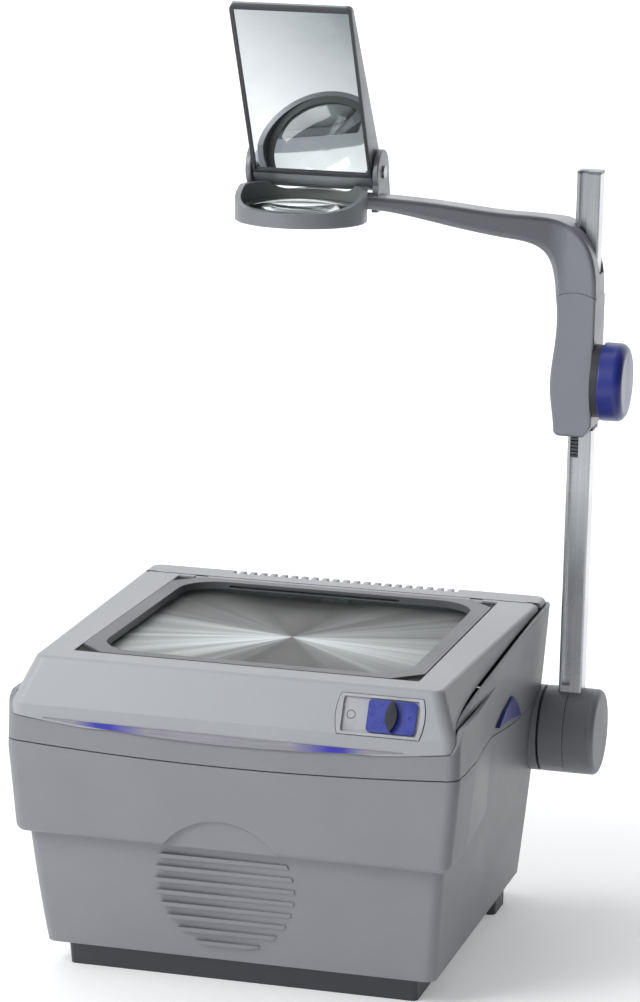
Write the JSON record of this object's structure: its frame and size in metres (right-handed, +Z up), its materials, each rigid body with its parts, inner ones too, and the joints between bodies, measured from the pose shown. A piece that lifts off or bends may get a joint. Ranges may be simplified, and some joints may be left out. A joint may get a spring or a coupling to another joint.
{
  "type": "overhead projector",
  "caption": "Desktop overhead projector: grey housing with a lift-up glass stage, side post with focus carriage, curved arm, lens ring and tilting mirror.",
  "frame": {"origin": "on the surface it stands on, under the centre of the stage, on the optical axis", "axes": "+Z up, +Y towards the rear, +X to the operator's right, where the post stands"},
  "size_m": [0.4415, 0.4032, 0.8011],
  "materials": {
    "lid_plastic": "fine satin, light grey",
    "body_plastic": "fine moulded grain, mid grey",
    "dark_plastic": "satin charcoal",
    "black_seal": "soft black",
    "rubber": "matt",
    "clear_glass": "polished",
    "clear_acrylic": "grooved rings",
    "blue_plastic": "glossy deep blue",
    "aluminium": "satin anodised",
    "steel": "turned",
    "sheet_steel": "zinc plated",
    "arm_plastic": "satin mid grey",
    "head_plastic": "satin silver grey",
    "hub_plastic": "fine satin, dark grey",
    "mirror_glass": "front silvered",
    "lamp_quartz": "clear",
    "ceramic": "unglazed",
    "copper_coil": "enamelled wire",
    "core_steel": "varnished laminations",
    "switch_grey": "smooth light grey",
    "rack_steel": "milled teeth"
  },
  "bodies": {
    "housing": {"lower_housing": "body_plastic", "upper_housing": "body_plastic", "rear_cover": "lid_plastic", "base_plate": "sheet_steel", "front_foot_bar": "dark_plastic", "rear_feet": "dark_plastic", "rubber_pads": "rubber", "base_screws": "steel", "lamp_bracket": "sheet_steel", "lamp_socket": "ceramic", "lamp": "lamp_quartz", "reflector": "aluminium", "lamp_house": "sheet_steel", "condenser_lens": "clear_glass", "transformer_core": "core_steel", "transformer_coil": "copper_coil", "fan_housing": "dark_plastic", "fan_bracket": "sheet_steel", "power_inlet": "dark_plastic", "interlock_switch": "dark_plastic", "pivot_bracket": "hub_plastic", "hub_axle": "steel", "friction_washer": "dark_plastic", "lid_hinge_pins": "steel"},
    "lid": {"stage_lid": "lid_plastic", "stage_frame": "lid_plastic", "stage_gasket": "black_seal", "stage_glass": "clear_glass", "fresnel_lens": "clear_acrylic", "lens_clips": "sheet_steel", "accent_strip": "dark_plastic", "accent_inlays": "blue_plastic", "switch_bezel": "switch_grey", "switch_body": "dark_plastic"},
    "power_slider": {"power_slider": "blue_plastic"},
    "button_right": {"release_button_right": "blue_plastic"},
    "button_left": {"release_button_left": "blue_plastic"},
    "post": {"hub_inner": "hub_plastic", "hub_outer": "hub_plastic", "hub_cap": "hub_plastic", "post_extrusion": "aluminium", "post_cap": "head_plastic", "rack": "rack_steel"},
    "carriage": {"carriage_front": "arm_plastic", "carriage_rear": "arm_plastic", "glide_bushes": "dark_plastic", "arm": "arm_plastic", "lens_ring": "head_plastic", "objective_lens": "clear_glass", "lens_retainer": "dark_plastic", "mirror_ear_left": "head_plastic", "mirror_ear_right": "head_plastic", "mirror_pins": "steel"},
    "focus_drive": {"focus_knob": "blue_plastic", "knob_collar": "dark_plastic", "pinion": "steel"},
    "mirror": {"mirror_shell": "head_plastic", "mirror_bezel": "dark_plastic", "mirror_glass": "mirror_glass"},
    "fan_rotor": {"fan_rotor": "dark_plastic"}
  },
  "joints": [
    {"name": "lid_hinge", "type": "hinge", "parent": "housing", "child": "lid", "pos_m": [0, 0.149, 0.2662], "axis": [-1, 0, 0], "range_deg": [0, 40]},
    {"name": "power_slide", "type": "slide", "parent": "lid", "child": "power_slider", "axis": [1, 0, 0], "range_m": [-0.016, 0]},
    {"name": "release_right", "type": "slide", "parent": "housing", "child": "button_right", "axis": [-1, 0, 0], "range_m": [0, 0.003], "stiffness_N_per_m": 600},
    {"name": "release_left", "type": "slide", "parent": "housing", "child": "button_left", "axis": [1, 0, 0], "range_m": [0, 0.003], "stiffness_N_per_m": 600},
    {"name": "post_fold", "type": "hinge", "parent": "housing", "child": "post", "pos_m": [0.2, 0.1744, 0.1555], "axis": [1, 0, 0], "range_deg": [-90, 0]},
    {"name": "focus_slide", "type": "slide", "parent": "post", "child": "carriage", "axis": [0, 0, 1], "range_m": [-0.05, 0.05]},
    {"name": "focus_turn", "type": "hinge", "parent": "carriage", "child": "focus_drive", "pos_m": [0.205, 0.157, 0.473], "axis": [1, 0, 0], "range_deg": [-320, 320]},
    {"name": "mirror_tilt", "type": "hinge", "parent": "carriage", "child": "mirror", "pos_m": [0, 0.048, 0.657], "axis": [1, 0, 0], "range_deg": [-29, 42]},
    {"name": "fan_spin", "type": "hinge", "parent": "housing", "child": "fan_rotor", "pos_m": [-0.141, 0.02, 0.092], "axis": [1, 0, 0], "continuous": true}
  ],
  "couplings": [
    {"joint": "focus_turn", "follows": "focus_slide", "rad_per_m": -111.11}
  ]
}
